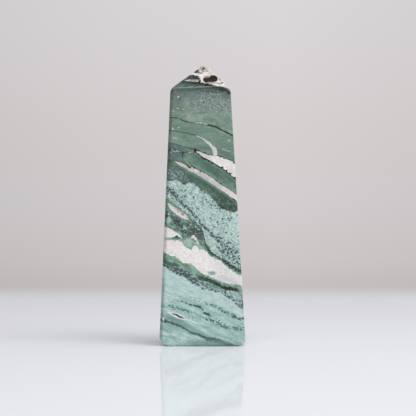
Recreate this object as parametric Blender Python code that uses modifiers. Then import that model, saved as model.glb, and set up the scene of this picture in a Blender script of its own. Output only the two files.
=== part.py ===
"""Polished tower of banded green stone: one solid, ground facet by facet from a sawn block.

Metres, +Z up, the front towards -Y. The origin is the middle of the flat foot.
A facet is set the way a lapidary sets it: a heading in plan, counted from +X towards +Y,
a tilt of its outward direction above the horizon, and a point that the facet passes through.
"""
from math import cos, radians, sin

import bmesh
import bpy
from mathutils import Vector

NAME = "tower"
COLLECTION = "banded_stone_tower"

# Block and foot
HEIGHT = 0.1020
FOOT_WIDTH = 0.0312
FOOT_DEPTH = 0.0312
HALF_WIDTH = FOOT_WIDTH / 2
HALF_DEPTH = FOOT_DEPTH / 2
BLOCK_MARGIN = 0.002

# Headings of the four sides
RIGHT = 0
BACK = 90
LEFT = 180
FRONT = 270

# How far each side leans in, in degrees from upright
RIGHT_LEAN = 3.36
BACK_LEAN = 2.90
LEFT_LEAN = 2.44
FRONT_LEAN = 2.95

# Cap: four facets that would meet in one point just above the worn tip
CAP_POINT = Vector((0.00035, 0.00030, HEIGHT + 0.00040))
CAP_FACETS = [
    (RIGHT + 1.0, 49.0),
    (BACK + 3.0, 50.5),
    (LEFT + 0.0, 51.4),
    (FRONT - 3.6, 51.3),
]

# Shoulders that were rolled over in polishing: heading, tilt, point on the facet
SHOULDERS = [
    (RIGHT, 36.0, Vector((0.00862, 0.0, 0.09422))),
    (FRONT + 20.0, 35.0, Vector((0.00778, -0.01081, 0.09312))),
    (LEFT, 27.0, Vector((-0.01144, 0.0, 0.09233))),
    (BACK + 4.0, 30.0, Vector((0.0, 0.01085, 0.09250))),
]

# Flats along the upright corners: the two sides that meet there, and the width on each
ARRISES = [
    ("left", "front", 0.0010),
    ("left", "back", 0.0009),
    ("right", "back", 0.0007),
]

# Foot edges, ground back from the base: heading, tilt, point on the facet
FOOT_EDGES = [
    (LEFT, -37.0, Vector((-0.01547, 0.0, 0.00292))),
    (LEFT, -58.0, Vector((-0.01262, 0.0, 0.0))),
    (RIGHT, -55.0, Vector((0.01325, 0.0, 0.0))),
    (FRONT, -45.0, Vector((0.0, -0.01500, 0.0))),
    (BACK, -47.0, Vector((0.0, 0.01400, 0.0))),
]

# Polish along every edge; corners closer together than SMALLEST_EDGE run into one
SMALLEST_EDGE = 0.00045
POLISH_RADIUS = 0.00034
POLISH_STEPS = 3
POLISH_FROM_ANGLE = 8.0

# Finish
STONE_COLOUR = (0.33, 0.49, 0.44, 1.0)
STONE_ROUGHNESS = 0.16


def clear_scene():
    for thing in list(bpy.data.objects):
        bpy.data.objects.remove(thing, do_unlink=True)


def outward(heading, tilt):
    """Outward direction of a facet from its heading and tilt in degrees."""
    turn = radians(heading)
    rise = radians(tilt)
    return Vector((cos(rise) * cos(turn), cos(rise) * sin(turn), sin(rise)))


def grind(block, point, direction):
    """Take away what lies outside the plane and close the cut with one flat facet."""
    everything = block.verts[:] + block.edges[:] + block.faces[:]
    cut = bmesh.ops.bisect_plane(
        block, geom=everything, plane_co=point, plane_no=direction, clear_outer=True
    )
    rim = [part for part in cut["geom_cut"] if isinstance(part, bmesh.types.BMEdge)]
    bmesh.ops.holes_fill(block, edges=rim, sides=0)


def sawn_block():
    """Block with its base on the ground and its top at the height of the worn tip."""
    block = bmesh.new()
    bmesh.ops.create_cube(block, size=1.0)
    size = (FOOT_WIDTH + BLOCK_MARGIN, FOOT_DEPTH + BLOCK_MARGIN, HEIGHT)
    bmesh.ops.scale(block, vec=size, verts=block.verts)
    bmesh.ops.translate(block, vec=(0.0, 0.0, HEIGHT / 2), verts=block.verts)
    return block


def side_planes():
    """Point at the foot and outward direction of each of the four sides."""
    return {
        "right": (Vector((HALF_WIDTH, 0.0, 0.0)), outward(RIGHT, RIGHT_LEAN)),
        "back": (Vector((0.0, HALF_DEPTH, 0.0)), outward(BACK, BACK_LEAN)),
        "left": (Vector((-HALF_WIDTH, 0.0, 0.0)), outward(LEFT, LEFT_LEAN)),
        "front": (Vector((0.0, -HALF_DEPTH, 0.0)), outward(FRONT, FRONT_LEAN)),
    }


def grind_arrises(block, sides):
    """Flat along an upright corner, as wide on one side as on the other."""
    for first, second, width in ARRISES:
        first_point, first_direction = sides[first]
        second_point, second_direction = sides[second]
        corner = first_point + second_point
        inward = second_point.normalized() * width
        grind(block, corner - inward, (first_direction + second_direction).normalized())


def tower_mesh():
    """Closed stone with flat facets: sides, corners, cap, shoulders and foot."""
    block = sawn_block()
    sides = side_planes()
    for point, direction in sides.values():
        grind(block, point, direction)
    grind_arrises(block, sides)
    for heading, tilt in CAP_FACETS:
        grind(block, CAP_POINT, outward(heading, tilt))
    for heading, tilt, point in SHOULDERS + FOOT_EDGES:
        grind(block, point, outward(heading, tilt))
    bmesh.ops.remove_doubles(block, verts=block.verts, dist=SMALLEST_EDGE)
    bmesh.ops.recalc_face_normals(block, faces=block.faces)
    mesh = bpy.data.meshes.new(NAME)
    block.to_mesh(mesh)
    block.free()
    return mesh


def stone_material():
    material = bpy.data.materials.new("polished_banded_stone")
    material.use_nodes = True
    shader = material.node_tree.nodes["Principled BSDF"]
    shader.inputs["Base Color"].default_value = STONE_COLOUR
    shader.inputs["Roughness"].default_value = STONE_ROUGHNESS
    shader.inputs["Metallic"].default_value = 0.0
    return material


def polish_edges(stone):
    """Small round along every edge, left by the polishing belt."""
    rounding = stone.modifiers.new("polish", "BEVEL")
    rounding.width = POLISH_RADIUS
    rounding.segments = POLISH_STEPS
    rounding.limit_method = "ANGLE"
    rounding.angle_limit = radians(POLISH_FROM_ANGLE)
    rounding.use_clamp_overlap = False


def main():
    clear_scene()
    collection = bpy.data.collections.new(COLLECTION)
    bpy.context.scene.collection.children.link(collection)
    stone = bpy.data.objects.new(NAME, tower_mesh())
    stone.data.materials.append(stone_material())
    collection.objects.link(stone)
    polish_edges(stone)


main()
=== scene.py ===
from math import radians, tan
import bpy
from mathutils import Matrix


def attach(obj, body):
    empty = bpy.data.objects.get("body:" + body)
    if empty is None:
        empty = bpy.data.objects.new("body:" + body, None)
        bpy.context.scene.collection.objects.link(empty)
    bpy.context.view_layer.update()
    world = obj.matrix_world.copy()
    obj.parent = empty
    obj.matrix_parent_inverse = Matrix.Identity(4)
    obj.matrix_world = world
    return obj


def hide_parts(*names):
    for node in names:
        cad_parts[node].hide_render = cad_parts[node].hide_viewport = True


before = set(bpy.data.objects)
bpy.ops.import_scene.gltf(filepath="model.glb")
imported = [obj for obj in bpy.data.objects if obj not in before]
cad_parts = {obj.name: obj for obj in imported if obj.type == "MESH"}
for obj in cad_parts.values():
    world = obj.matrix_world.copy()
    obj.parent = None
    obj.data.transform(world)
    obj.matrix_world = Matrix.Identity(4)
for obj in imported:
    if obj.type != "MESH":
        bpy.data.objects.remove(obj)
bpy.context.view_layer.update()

from types import SimpleNamespace

import bmesh
import bpy
from mathutils import Vector, noise

MM = 1000.0

# Camera: level, in front of the tower and a little below its middle
EYE = Vector((0.0020, -0.6400, 0.04966))
LENS = 150.6
SENSOR = 36.0

# Kinds of node and the settings that come back often
MATH = "ShaderNodeMath"
VECTOR = "ShaderNodeVectorMath"
MIX = "ShaderNodeMix"
RANGE = "ShaderNodeMapRange"
NOISE = "ShaderNodeTexNoise"
MAPPING = "ShaderNodeMapping"
CURVE = "ShaderNodeFloatCurve"
LEVEL = {"interpolation_type": "LINEAR"}
PLUS = {"operation": "ADD"}
MINUS = {"operation": "SUBTRACT"}
TIMES_PLUS = {"operation": "MULTIPLY_ADD"}
MOST = {"operation": "MAXIMUM"}
UNSIGNED = {"operation": "ABSOLUTE"}
# Settings that these kinds have here unless a call gives others. The ranges aren't clamped: each
# clamp would be one more node that Cycles runs late, and the masks that wait for it would overflow
# its stack and turn the stone black.
USUAL = {
    MATH: {"operation": "MULTIPLY"},
    RANGE: {"interpolation_type": "SMOOTHSTEP", "clamp": False},
    MIX: {"data_type": "RGBA"},
}

# Front face of the tower: half width of the foot and lean, in mm and degrees
FRONT_FOOT = 15.6
FRONT_LEAN = 2.95
# How far the left edge leans in for each mm of height
LEFT_LEAN = 0.0426
# Flat along the left corner: where it starts at the foot and how deep it goes, softly, in mm
LEFT_FLAT = (-14.2, -14.9)
FLAT_DEPTH = (1.9, 1.0)
# The beds run on into the stone: how far they drift sideways and sink for each mm of depth
DRIFT = 0.33
SINK = 0.12
# Past this depth in mm they also bend, by up to so much for each further mm, in waves of this size
BEND_FROM = 9.0
BEND = 0.55
BEND_SIZE = 17.0
# Size in mm and reach of the steps that make the edges rough, and of the finer crumbs
ROUGH_SIZE = 0.8
ROUGH = 1.9
CRUMB_SIZE = 0.45
CRUMB = 0.8
CAP_CRUMB = 0.9
# Softness in mm of the edge between two beds
EDGE_SOFT = 0.2
# Range of the traced lines: along the face, up the stone and across a vein, in mm
ALONG = (-20.0, 30.0)
UP = (0.0, 110.0)
ACROSS = (-3.0, 4.0)

# Edges between the beds on the front, as (place along the face, height) in mm.
# Places past 15 lie on the right side and the back.
PALE_TOP = [
    (-20, 59.6), (-11.7, 59.6), (-9.5, 59.7), (-8.1, 59.0), (-6.7, 58.2), (-4.5, 58.6),
    (-2.7, 58.0), (-1.6, 57.1), (-0.5, 56.1), (0.6, 55.4), (2.0, 54.8), (2.8, 54.0), (3.8, 52.9),
    (4.9, 51.8), (5.6, 50.7), (6.7, 49.5), (9.2, 48.6), (10.7, 48.2), (12.1, 48.3), (12.9, 48.8),
    (15.5, 47.8), (19, 44.0), (23, 41.5), (30, 39.0),
]
PALE_BOTTOM = [
    (-20, 57.5), (-15.3, 55.1), (-12.4, 52.9), (-9.5, 50.7), (-8.1, 49.5), (-6.3, 48.2),
    (-4.5, 46.9), (-3.4, 45.9), (-2.3, 44.6), (-0.9, 43.0), (0.2, 41.5), (0.6, 39.8), (1.0, 37.9),
    (1.8, 36.2), (2.8, 34.8), (4.2, 33.2), (6.0, 32.1), (7.8, 31.4), (9.6, 30.1), (11.8, 28.7),
    (13.9, 27.5), (18, 25.2), (22, 23.4), (30, 20.0),
]
WHITE_TOP = [
    (-20, 38.2), (-15.3, 38.1), (-7.8, 37.8), (-6.8, 36.3), (-5.3, 35.3), (-4.0, 34.7),
    (-3.2, 36.1), (-2.1, 35.9), (-1.1, 34.8), (0.6, 34.4), (1.9, 33.4), (3.0, 32.1), (4.5, 31.7),
    (6.1, 30.8), (8.5, 28.7), (11.0, 26.9), (12.4, 26.0), (14.2, 25.4), (18, 24.2), (22, 22.4), (30, 18.6),
]
WHITE_BOTTOM = [
    (-20, 37.2), (-15.3, 35.6), (-14.2, 34.6), (-12.9, 33.2), (-9.5, 31.9), (-7.6, 30.4),
    (-5.7, 29.9), (-4.0, 29.4), (-2.7, 28.3), (-1.1, 26.9), (1.3, 25.5), (2.8, 25.0), (4.5, 24.3),
    (6.1, 23.6), (7.4, 23.0), (8.7, 22.6), (10.8, 22.4), (12.9, 22.0), (14.6, 21.3), (18, 20.3), (22, 19.4),
    (30, 17.0),
]
RIM_BOTTOM = [
    (-20, 32.4), (-14.2, 30.3), (-12.6, 29.3), (-11.6, 28.7), (-9.9, 28.4), (-7.0, 27.6),
    (-5.6, 27.2), (-4.5, 26.7), (-2.7, 24.8), (-0.9, 23.7), (1.3, 23.3), (2.7, 22.8), (4.2, 22.0),
    (5.6, 21.3), (7.1, 20.4), (8.5, 20.1), (10.7, 19.7), (12.8, 19.2), (18, 18.4), (22, 17.6),
    (30, 15.4),
]
MIDDLE_BOTTOM = [
    (-20, 74.4), (-12.4, 73), (-6.2, 71.6), (-2.3, 70.6), (1.3, 69.3), (5.6, 68.2), (8.7, 67.0),
    (12.5, 65.4), (20, 61.5), (30, 56.0),
]
GRAINS_BOTTOM = [
    (-20, 30.6), (-13.5, 28.7), (-11.7, 27.5), (-9.9, 26.2), (-8.1, 25.5), (-6.3, 24.8),
    (-5.2, 23.7), (-3.8, 22.6), (-1.6, 21.5), (-0.2, 20.4), (2.0, 20.1), (4.5, 19.3), (7.0, 18.7),
    (8.5, 17.5), (9.9, 16.8), (11.0, 16.1), (12.5, 14.7), (13.9, 13.9), (18, 12.6), (22, 12.0),
    (30, 9.5),
]
LIGHT_FOOT = [
    (-20, 15.5), (-13, 15.3), (-10, 16.6), (-7, 16.5), (-4, 15.4), (0, 15.4), (5, 14.4), (9, 13.0),
    (15, 10.6), (30, 8.0),
]
GRAIN_LINE = [
    (-20, 60.0), (-11.7, 55.8), (-8.5, 52.5), (-5.6, 49.7), (-3.4, 47.5), (-1.6, 45.7),
    (0.2, 43.2), (1.6, 41.7), (3.8, 39.6), (6.3, 37.4), (9.2, 33.8), (12.1, 30.2), (16, 28.0),
    (22, 26.0), (30, 22.0),
]

# Veins and cracks, as (place along the face, height of the middle, half thickness) in mm
CRACK_A = [
    (-20, 83.4, 0.1), (-13.2, 82.6, 0.12), (-11.0, 82.3, 0.14), (-8.8, 82.0, 0.16),
    (-6.6, 81.1, 0.2), (-4.9, 80.7, 0.17), (-3.3, 80.4, 0.08), (-2.4, 80.4, -0.15),
    (0.2, 80.2, -0.2), (0.9, 79.9, 0.2), (2.4, 79.6, 0.31),
    (3.6, 79.3, 0.33), (4.7, 79.1, 0.3), (6.4, 78.1, 0.33), (7.6, 77.5, 0.22), (9.4, 76.7, 0.33),
    (10.8, 75.9, 0.33), (12.1, 75.2, 0.29), (17, 73.4, 0.3), (23, 71.5, 0.2), (30, 69.0, 0.1),
]
CRACK_A_PALE = [
    (-20, 80.6, -1), (-3.2, 80.6, -0.1), (-2.2, 80.5, 0.16), (-1.0, 80.45, 0.2), (0.4, 80.2, 0.2),
    (1.6, 79.9, 0.1), (2.2, 79.8, -0.2), (30, 79.8, -1),
]
CRACK_B = [
    (-20, 79.5, 0.1), (-11, 77.6, 0.15), (-7.9, 77.1, 0.18), (-5.3, 76.6, 0.22),
    (-3.4, 76.2, 0.21), (-1.9, 76.0, 0.12), (-1.0, 75.8, -0.2), (30, 75, -1),
]
VEIN_B = [
    (-20, 76, -1), (-2.6, 75.9, -0.1), (-1.6, 75.5, 0.16), (-0.5, 75.0, 0.26), (0.6, 74.4, 0.34),
    (1.3, 73.8, 0.5), (2.0, 73.2, 0.6), (2.7, 72.6, 0.75), (3.4, 71.7, 0.9), (4.0, 70.5, 1.6),
    (4.5, 70.1, 1.7), (5.1, 69.7, 1.3), (5.4, 69.4, 0.3), (5.6, 69.2, -0.8), (30, 68, -1),
]
CRACK_C = [
    (-20, 74.4, 0.1), (-12.4, 73, 0.15), (-10.4, 72.8, 0.16), (-8.3, 72.2, 0.14),
    (-6.2, 71.6, 0.12), (-4, 71.2, 0.2), (-2.3, 70.8, 0.36), (-1.4, 70.6, -0.2), (30, 66, -1),
]
CRACK_D = [
    (-20, 70, -1), (-9, 69.9, -0.1), (-8.1, 69.8, 0.18), (-5.7, 69.8, 0.22), (-4, 69.7, 0.18),
    (-2.3, 69.9, 0.22), (-1.6, 70, -0.2), (30, 70, -1),
]
WEDGE = [
    (-20, 74.0, -3), (-4.0, 70.8, -1.5), (-2.9, 70.3, -0.2), (-2.0, 69.9, 0.22), (-0.9, 69.4, 0.52),
    (0.2, 68.8, 0.66), (1.3, 68.3, 0.76), (2.4, 67.9, 0.88), (3.4, 67.5, 1.08), (4.5, 67.2, 1.45),
    (5.6, 66.7, 1.68), (6.7, 66.2, 1.85), (7.8, 65.7, 2.0), (8.9, 65.0, 2.2), (9.9, 64.4, 2.45),
    (11.0, 63.7, 2.7), (12.5, 62.7, 2.8), (16, 61, 2.9), (20, 59.4, 2.1), (24, 58, 1.2),
    (27.5, 57, 0.3), (30, 56, -0.5),
]
VEIN_F = [
    (-20, 68.5, -3), (-12, 67.6, -2.0), (-10.4, 66.8, -0.2), (-9.9, 66.5, 0.11), (-8.7, 65.8, 0.43),
    (-7.2, 65.1, 0.62), (-5.7, 64.3, 0.61), (-4.5, 63.4, 0.5), (-4, 63.6, 0.98), (-1.9, 62.6, 0.99),
    (0.2, 61.5, 1.07), (2.3, 60.2, 1.17), (4.5, 58.7, 1.09), (6.6, 57.1, 0.98), (8.7, 55.9, 0.99),
    (10.8, 54.3, 1.26), (12.8, 53, 1.01), (16, 51.4, 0.8), (20, 49.6, 1.0), (24, 48.6, 0.6),
    (28, 47, 0.2), (30, 46.5, -0.2),
]
CRACK_F = [
    (-20, 67.6, 0.1), (-13.2, 67.2, 0.18), (-11, 67.1, 0.18), (-9.8, 66.6, 0.21),
    (-9.2, 66.4, -0.2), (30, 66, -1),
]
SLIVER_F = [
    (-20, 69, -1), (-7.2, 68, -0.2), (-6.6, 67.5, 0.14), (-5.6, 66.3, 0.3), (-4.7, 65.2, 0.26),
    (-4.0, 64.5, 0.1), (-3.6, 64.2, -0.2), (30, 64, -1),
]
LENS_G = [
    (-20, 53, -3), (-13.6, 51.9, -2.0), (-12.9, 51.4, -0.2), (-12.3, 51.0, 0.3), (-11.7, 50.4, 0.8),
    (-10.6, 49.4, 1.1), (-9.5, 48.6, 1.05), (-8.1, 47.7, 1.15), (-7.0, 47.0, 1.1), (-5.9, 46.3, 0.8),
    (-5.2, 45.8, 0.4), (-4.8, 45.5, -0.3), (-4, 45, -2.0), (30, 45, -3),
]
PATCH_H = [
    (-20, 41.2, 2.2), (-15.3, 41, 2.16), (-12.9, 40.9, 1.8), (-11.2, 40.5, 1.55),
    (-9.7, 40.2, 0.77), (-8.3, 39.7, 0.45), (-7.5, 38.9, 0.3), (-7.0, 38.4, -0.3), (30, 38, -1),
]
STREAK_J = [
    (-20, 19, -1), (-8.8, 16.4, -0.1), (-6.6, 15.8, 0.12), (-4.5, 15.0, 0.2), (-2.6, 14.5, 0.26),
    (-1.3, 14.1, 0.5), (-0.4, 13.6, 0.42), (0.5, 12.8, 0.22), (1.0, 12.3, -0.2), (30, 9, -1),
]
STREAK_K = [
    (-20, 13, -1), (0.1, 12.2, -0.3), (0.5, 12.1, 0.4), (1.5, 11.6, 0.55), (2.5, 11.1, 0.5),
    (3.0, 10.7, 0.05), (4.2, 10.2, -0.05), (5.2, 9.8, 0.08), (6, 9.4, -0.3), (30, 8, -1),
]
STREAK_L = [
    (-20, 19, -1), (0, 16.1, -0.1), (0.6, 15.9, 0.1), (3.1, 14.8, 0.12), (5.5, 13.7, 0.16),
    (7.2, 12.7, 0.46), (8.7, 12.0, 0.36), (10.6, 11.4, 0.36), (12.5, 10.2, 0.36),
    (14.6, 9.9, 0.29), (19, 8.7, 0.3), (24, 7.8, 0.2), (30, 7, -0.2),
]
STREAK_M = [
    (-20, 10, -1), (0.7, 9.9, -0.1), (1.3, 9.7, 0.21), (4.2, 8.9, 0.36), (6.8, 7.8, 0.39),
    (8.7, 7, 0.29), (10.8, 6.4, 0.32), (14.6, 6.3, 0.32), (19, 5.2, 0.3), (24, 4.4, 0.1),
    (30, 4, -0.3),
]
STREAK_N = [
    (-20, 15, -1), (-13.2, 14.5, -0.2), (-11.6, 14.3, 0.33), (-8.2, 13.6, 0.39),
    (-5.3, 12.7, 0.29), (-3.8, 12.2, 0.11), (-3, 12, -0.3), (30, 12, -1),
]
LENS_P = [
    (-20, 14, -1), (-13.2, 12.6, -0.1), (-12.4, 12.2, 0.3), (-11.0, 11.75, 0.65),
    (-9.6, 11.15, 0.84), (-8.1, 10.5, 0.74), (-6.7, 9.95, 0.5), (-5.2, 9.5, 0.2), (-3.4, 8.9, 0.14),
    (-1.6, 8.1, 0.12), (-0.5, 7.7, -0.05), (0.3, 7.4, -0.3), (30, 5, -1),
]
CRACK_P = [
    (-20, 13, -1), (-11.4, 11.8, -0.2), (-10.8, 11.65, 0.12), (-9.7, 11.4, 0.22),
    (-8.8, 11.0, 0.36), (-8.1, 10.55, 0.26), (-7.2, 10.25, 0.2), (-6.6, 9.95, 0.06),
    (-6.1, 9.8, -0.4), (30, 10, -1),
]
CRACK_Q = [
    (-20, 10.8, 0.2), (-16, 9.9, 0.3), (-13.1, 9.1, 0.42), (-11.2, 8.4, 0.42), (-8.2, 7.3, 0.44),
    (-5.7, 5.9, 0.36), (-4, 4.9, 0.32), (-1.9, 4.4, 0.4), (0.2, 3.5, 0.44), (2.3, 2.6, 0.62),
    (4.4, 2.3, 0.74), (6.1, 1.7, 0.74), (8.7, 0.9, 0.62), (11, 0.2, 0.4), (13.5, 0.0, 0.1),
    (15, 0.1, -0.3), (30, 0.1, -1),
]

# Edges on the cap, as (place to the side, height) in mm
CAP_EDGE = [
    (-20, 96.6), (-6.9, 96.0), (-5.2, 95.6), (-3.1, 95.4), (-1.5, 95.3), (-0.5, 95.1), (0.6, 94.8),
    (2.0, 94.5), (3.4, 94.2), (4.7, 93.9), (6.7, 93.5), (8.0, 93.2), (9.4, 92.7), (14, 92.0), (30, 92.0),
]
RIDGE = [
    (-20, 92.2), (-10.5, 92.7), (-5, 93.2), (-0.5, 93.3), (4.9, 93.6), (7.6, 93.3), (10.1, 91.8),
    (14, 91.5), (30, 91.5),
]

# Small marks on the front, as (place along the face, height, half length, half thickness, dip)
PALE_BED_GRAINS = [
    (-11.6, 55.9, 0.38, 0.25, 40), (-10.8, 55.0, 0.63, 0.38, 45), (-10.4, 55.4, 0.42, 0.21, -20),
    (-10.4, 54.5, 0.34, 0.21, 40), (-9.4, 53.7, 0.63, 0.25, 45), (-6.2, 55.9, 0.51, 0.25, -35),
    (-6.3, 53.7, 0.42, 0.30, 30), (-6.6, 52.7, 0.25, 0.19, 0), (-4.2, 55.0, 0.25, 0.19, 0),
    (-3.1, 53.5, 0.34, 0.51, 0), (-0.4, 56.3, 0.59, 0.30, 40), (-8.2, 52.0, 0.42, 0.30, 40),
    (-7.5, 51.5, 0.51, 0.34, 45), (-6.6, 50.5, 0.55, 0.21, 45), (-5.7, 50.1, 0.38, 0.25, 45),
    (-5.0, 49.4, 0.55, 0.25, 40), (-4.0, 48.3, 0.55, 0.30, 45), (-3.6, 47.8, 0.42, 0.30, 45),
    (-1.9, 49.6, 0.97, 0.17, 38), (-2.1, 46.5, 0.51, 0.30, 45), (-1.1, 45.3, 0.38, 0.34, 0),
    (-0.9, 44.0, 0.47, 0.32, 40), (-0.3, 43.6, 0.51, 0.32, 45), (-0.4, 42.2, 0.38, 0.42, 0),
    (1.1, 42.5, 0.59, 0.42, 30), (2.0, 41.5, 0.55, 0.28, 45), (3.4, 40.7, 0.51, 0.36, 40),
    (3.1, 39.7, 0.42, 0.19, 20), (4.0, 39.5, 0.51, 0.30, 40), (6.3, 39.0, 0.97, 0.40, 20),
    (5.7, 37.9, 0.55, 0.47, 0), (6.8, 37.6, 0.42, 0.28, 30), (7.2, 38.9, 0.38, 0.21, -30),
    (9.2, 37.1, 0.89, 0.34, -15), (8.7, 35.9, 0.55, 0.25, 20), (10.0, 35.0, 0.38, 0.42, 0),
    (10.6, 34.2, 0.47, 0.28, -40), (5.9, 35.4, 0.36, 0.51, 0), (7.6, 34.5, 0.68, 0.30, -30),
    (6.6, 34.1, 0.47, 0.25, -20), (7.4, 33.7, 0.42, 0.25, 20), (9.3, 33.6, 0.34, 0.51, 0),
    (11.9, 33.6, 0.47, 0.34, 0), (3.2, 50.6, 0.34, 0.25, 0), (1.7, 51.7, 0.30, 0.19, 30),
    (3.1, 49.6, 0.47, 0.17, 20), (4.7, 50.5, 0.38, 0.21, 60), (5.0, 49.5, 0.51, 0.21, 10),
    (6.3, 49.5, 0.47, 0.21, 10), (7.3, 49.3, 0.21, 0.38, 0), (-0.6, 51.8, 0.28, 0.17, 0),
    (0.2, 51.1, 0.25, 0.17, 0), (2.7, 46.1, 0.38, 0.30, 20), (7.2, 45.7, 0.36, 0.34, 0),
    (5.4, 44.6, 0.34, 0.47, 0), (10.4, 46.0, 0.47, 0.32, -45), (9.7, 45.2, 0.38, 0.19, -40),
    (8.7, 44.4, 0.47, 0.17, -20), (7.4, 44.1, 0.59, 0.15, -8), (5.8, 43.7, 0.38, 0.17, 15),
    (4.1, 42.8, 0.25, 0.38, 0), (3.8, 41.9, 0.34, 0.21, 60), (9.1, 43.2, 0.17, 0.51, 0),
    (5.9, 40.3, 0.97, 0.17, -25), (8.5, 40.9, 0.34, 0.21, 0), (10.5, 40.1, 0.30, 0.32, 0),
    (12.7, 47.1, 0.17, 0.42, 0), (12.8, 39.5, 0.25, 0.19, 0),
]
PALE_BED_FLECKS = [
    (-2.6, 47.0, 0.34, 0.30, 0), (-1.8, 45.0, 0.72, 0.25, -25), (8.0, 44.0, 0.42, 0.32, 0),
    (1.7, 41.1, 1.48, 0.15, 40), (-12.0, 54.1, 0.42, 0.85, 0), (-9.6, 58.4, 0.30, 0.21, 0),
    (8.5, 43.4, 0.34, 0.25, 0), (11.2, 47.3, 0.55, 0.72, 0), (4.0, 35.0, 0.42, 0.30, 0),
    (10.2, 32.3, 0.38, 0.51, 0), (11.9, 37.8, 0.42, 0.25, 0),
]
TOP_FLECKS = [
    (-8.9, 85.7, 0.76, 0.25, 10), (-10.6, 84.6, 0.42, 0.21, 10), (-7.0, 85.4, 0.55, 0.21, 10),
    (1.4, 83.5, 0.32, 0.30, 0), (8.7, 85.0, 0.30, 0.30, 0), (-0.4, 88.6, 0.51, 0.32, 0),
    (-8.5, 78.8, 0.38, 0.30, 0), (-10.0, 74.9, 0.93, 0.28, 22), (9.6, 74.0, 0.63, 0.38, 0),
    (7.7, 70.7, 1.06, 0.19, 15), (9.2, 70.2, 1.06, 0.17, 10), (6.4, 88.8, 0.72, 0.17, -55),
    (6.6, 77.4, 1.06, 0.15, 20), (7.2, 76.8, 1.18, 0.15, 20), (6.8, 76.1, 1.06, 0.15, 20),
]
TOP_SANDY = [
    (-4.8, 82.9, 0.63, 0.51, 30), (-3.4, 81.5, 0.85, 0.34, 10), (4.2, 82.3, 0.47, 0.30, 0),
    (5.5, 82.2, 0.42, 0.19, 0),
]
RUSTY_MARKS = [
    (-9.7, 91.7, 0.30, 0.72, 0), (-8.9, 90.7, 0.30, 0.34, 0), (-7.7, 88.0, 0.28, 0.30, 0),
    (-11.2, 80.6, 0.38, 0.72, 0), (-11.2, 79.2, 0.34, 0.63, 0),
]
SAND_MARKS = [(-8.7, 89.8, 0.25, 0.42, 0), (-10.7, 78.1, 0.25, 0.63, 0)]
HOLLOW_WHITES = [
    (-11.0, 70.9, 0.34, 0.20, 0), (-10.5, 70.3, 0.30, 0.24, 20), (-9.9, 70.0, 0.26, 0.18, 0),
    (-9.2, 70.3, 0.36, 0.24, 25), (-8.6, 70.0, 0.34, 0.22, 10), (-11.2, 69.6, 0.24, 0.18, 0),
    (-4.6, 69.7, 0.40, 0.16, 5), (-3.9, 69.8, 0.26, 0.14, 0),
]
HOLLOW_BLACKS = [
    (-11.7, 70.7, 0.72, 0.21, -20), (-9.8, 70.7, 0.38, 0.25, 0), (-7.1, 69.6, 0.51, 0.42, 0),
    (-7.2, 68.7, 0.30, 0.63, 0), (-6.3, 90.7, 0.30, 0.18, 0), (-8.3, 89.0, 0.25, 0.25, 0),
]
WEDGE_BEADS = [
    (-2.6, 70.4, 0.62, 0.60, 0), (-1.3, 69.2, 0.34, 0.26, 40), (0.1, 67.7, 0.66, 0.32, 35),
    (1.1, 67.2, 0.40, 0.30, 20), (2.3, 66.6, 0.46, 0.30, 20), (3.5, 65.9, 0.50, 0.30, 30),
    (5.2, 65.0, 0.36, 0.24, 30), (7.0, 64.2, 0.58, 0.42, 0), (8.6, 63.2, 0.44, 0.26, 35),
    (10.1, 62.1, 0.50, 0.26, 35), (11.9, 60.5, 0.50, 0.42, 20),
]
WEDGE_TOP_BEADS = [
    (-1.4, 70.4, 0.34, 0.30, 0), (0.7, 69.6, 0.50, 0.18, 15), (2.3, 68.9, 0.42, 0.20, 10),
    (6.4, 68.0, 0.50, 0.17, 15), (7.7, 67.5, 0.42, 0.20, 15), (10.1, 67.0, 0.40, 0.24, 10),
    (11.5, 66.0, 0.50, 0.34, 35),
]
VEIN_F_NOTCHES = [
    (11.3, 52.7, 1.10, 0.32, 38),
    (-4.5, 64.3, 0.30, 0.55, -35), (-4.0, 64.8, 0.55, 0.17, 35), (-3.0, 64.0, 0.47, 0.19, 10),
    (-0.6, 62.9, 0.47, 0.17, 25), (0.4, 62.4, 0.47, 0.17, 25), (-5.2, 64.9, 1.30, 0.20, 50),
    (-3.3, 64.5, 1.20, 0.17, 32), (5.0, 59.6, 0.60, 0.15, 35), (6.6, 58.6, 0.50, 0.15, 35),
]
DARK_BLOTCHES = [
    (-9.1, 44.9, 1.59, 1.27, 30), (-7.8, 43.7, 1.27, 0.76, 40), (-5.7, 43.7, 1.06, 0.55, 30),
    (-3.2, 41.8, 1.90, 1.27, 30), (-0.2, 41.2, 1.48, 1.27, 45), (-1.1, 39.5, 1.48, 1.06, 50),
    (-6.6, 41.2, 1.27, 0.85, 20), (-4.4, 40.1, 1.27, 0.76, 20), (-7.4, 42.9, 0.63, 0.42, 40),
    (-11.7, 47.1, 0.85, 0.34, 50), (-12.7, 46.7, 0.30, 1.69, 0),
]
GREEN_END_DARKS = [
    (10.1, 50.1, 0.80, 0.50, 20), (7.2, 49.8, 0.55, 0.35, 30), (5.8, 50.5, 0.50, 0.30, 30),
]
LOWER_GREEN_FLECKS = [
    (-6.3, 42.7, 0.80, 0.30, 45), (-4.3, 43.6, 0.25, 0.25, 0), (-12.1, 47.5, 0.42, 0.42, 0),
    (-10.1, 47.1, 0.30, 0.21, 0), (-12.2, 45.4, 0.72, 1.27, 10), (-2.2, 42.8, 0.72, 0.17, 35),
    (-1.2, 42.0, 0.55, 0.17, 35), (-6.8, 42.1, 0.42, 0.21, 20),
]
LOBE = [
    (-6.5, 36.8, 1.27, 0.72, 40), (-4.9, 36.1, 1.27, 1.06, 0), (-4.9, 37.8, 1.69, 0.85, 10),
    (-1.9, 36.5, 1.27, 0.76, 30), (-0.4, 35.3, 1.27, 0.63, 40),
]
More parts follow.
